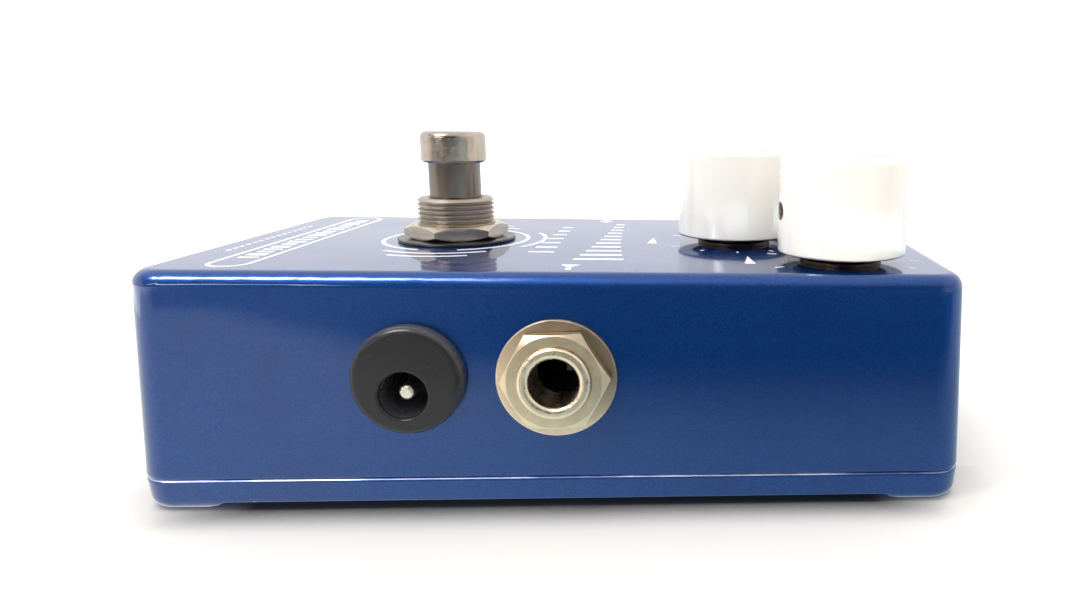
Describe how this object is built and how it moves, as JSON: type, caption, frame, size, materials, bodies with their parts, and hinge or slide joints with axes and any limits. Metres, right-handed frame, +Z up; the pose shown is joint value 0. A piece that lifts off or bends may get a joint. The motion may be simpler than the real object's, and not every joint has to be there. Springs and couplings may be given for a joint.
{
  "type": "guitar effects pedal",
  "caption": "Stomp-box effects pedal: drafted metal case with screwed base, press footswitch, round control knobs on top, plug sockets on the long sides and a small lamp.",
  "frame": {"origin": "centre of the footprint on the resting plane, under the four corner feet", "axes": "+Z up; +Y along the case towards the control knobs, so -Y is the player's and footswitch end; +X towards the input-jack and DC-socket side"},
  "size_m": [0.0662, 0.112, 0.0499],
  "materials": {
    "case_paint": "gloss metallic blue",
    "screw_steel": "dark zinc",
    "nickel": "warm nickel plate",
    "spring_steel": "bright zinc",
    "black_washer": "black",
    "switch_plastic": "moulded",
    "tinned_contact": "tinned",
    "works_plastic": "moulded",
    "dark_bronze": "tarnished",
    "phenolic": "laminate",
    "socket_black": "moulded satin black",
    "lamp_resin": "clear dome",
    "board_laminate": "solder mask",
    "chip_black": "moulded",
    "capacitor_film": "dipped",
    "resistor_coat": "lacquered",
    "battery_case": "printed can, plain",
    "foam": "open-cell foam",
    "red_wire": "insulation",
    "green_wire": "insulation",
    "knob_white": "gloss warm white",
    "brass": "turned",
    "shaft_metal": "turned"
  },
  "bodies": {
    "case": {"base_cover": "case_paint", "base_cover_screws": "screw_steel", "battery": "battery_case", "battery_clip": "socket_black", "battery_foam_pad": "foam", "capacitors": "capacitor_film", "dc_jack_body": "socket_black", "dc_jack_contacts": "tinned_contact", "dc_jack_nut": "socket_black", "dc_jack_pin": "nickel", "enclosure_body": "case_paint", "footswitch_bushing": "nickel", "footswitch_frame": "spring_steel", "footswitch_housing": "switch_plastic", "footswitch_inner_nut": "nickel", "footswitch_lock_washer": "spring_steel", "footswitch_nut": "nickel", "footswitch_spring": "spring_steel", "footswitch_terminals": "tinned_contact", "footswitch_washer": "black_washer", "ic_chips": "chip_black", "input_jack_contacts": "tinned_contact", "input_jack_frame": "nickel", "input_jack_insulators": "phenolic", "jack_nuts": "nickel", "jack_washers": "nickel", "led": "lamp_resin", "led_bezel": "nickel", "main_board": "board_laminate", "output_jack_contacts": "tinned_contact", "output_jack_frame": "nickel", "output_jack_insulators": "phenolic", "pot_bushings": "dark_bronze", "pot_element_boards": "phenolic", "pot_housings": "spring_steel", "pot_nuts": "dark_bronze", "pot_terminals": "tinned_contact", "pot_washers": "dark_bronze", "power_wires": "red_wire", "resistors": "resistor_coat", "signal_wires": "green_wire"},
    "plunger": {"footswitch_plunger": "nickel", "footswitch_pusher": "works_plastic"},
    "rocker": {"footswitch_rocker": "works_plastic", "footswitch_contact_blades": "tinned_contact"},
    "delay_control": {"delay_knob": "knob_white", "delay_knob_insert": "brass", "delay_set_screw": "screw_steel", "delay_shaft": "shaft_metal", "delay_wiper": "works_plastic"},
    "repeat_control": {"repeat_knob": "knob_white", "repeat_knob_insert": "brass", "repeat_set_screw": "screw_steel", "repeat_shaft": "shaft_metal", "repeat_wiper": "works_plastic"},
    "mix_control": {"mix_knob": "knob_white", "mix_knob_insert": "brass", "mix_set_screw": "screw_steel", "mix_shaft": "shaft_metal", "mix_wiper": "works_plastic"}
  },
  "joints": [
    {"name": "footswitch_press", "type": "slide", "parent": "case", "child": "plunger", "axis": [0, 0, -1], "range_m": [0, 0.003], "stiffness_N_per_m": 2500, "springref_m": -0.004, "deforming": ["footswitch_spring"]},
    {"name": "rocker_tilt", "type": "hinge", "parent": "case", "child": "rocker", "pos_m": [0, -0.0211, 0.0172], "axis": [-1, 0, 0], "range_deg": [0, 24]},
    {"name": "delay_turn", "type": "hinge", "parent": "case", "child": "delay_control", "pos_m": [0.0175, 0.0393, 0.0338], "axis": [0, 0, 1], "range_deg": [-158, 142]},
    {"name": "repeat_turn", "type": "hinge", "parent": "case", "child": "repeat_control", "pos_m": [0, 0.0244, 0.0338], "axis": [0, 0, 1], "range_deg": [-112, 188]},
    {"name": "mix_turn", "type": "hinge", "parent": "case", "child": "mix_control", "pos_m": [-0.0175, 0.0393, 0.0338], "axis": [0, 0, 1], "range_deg": [-174, 126]}
  ],
  "couplings": [
    {"joint": "rocker_tilt", "follows": "footswitch_press", "rad_per_m": 139.6}
  ]
}
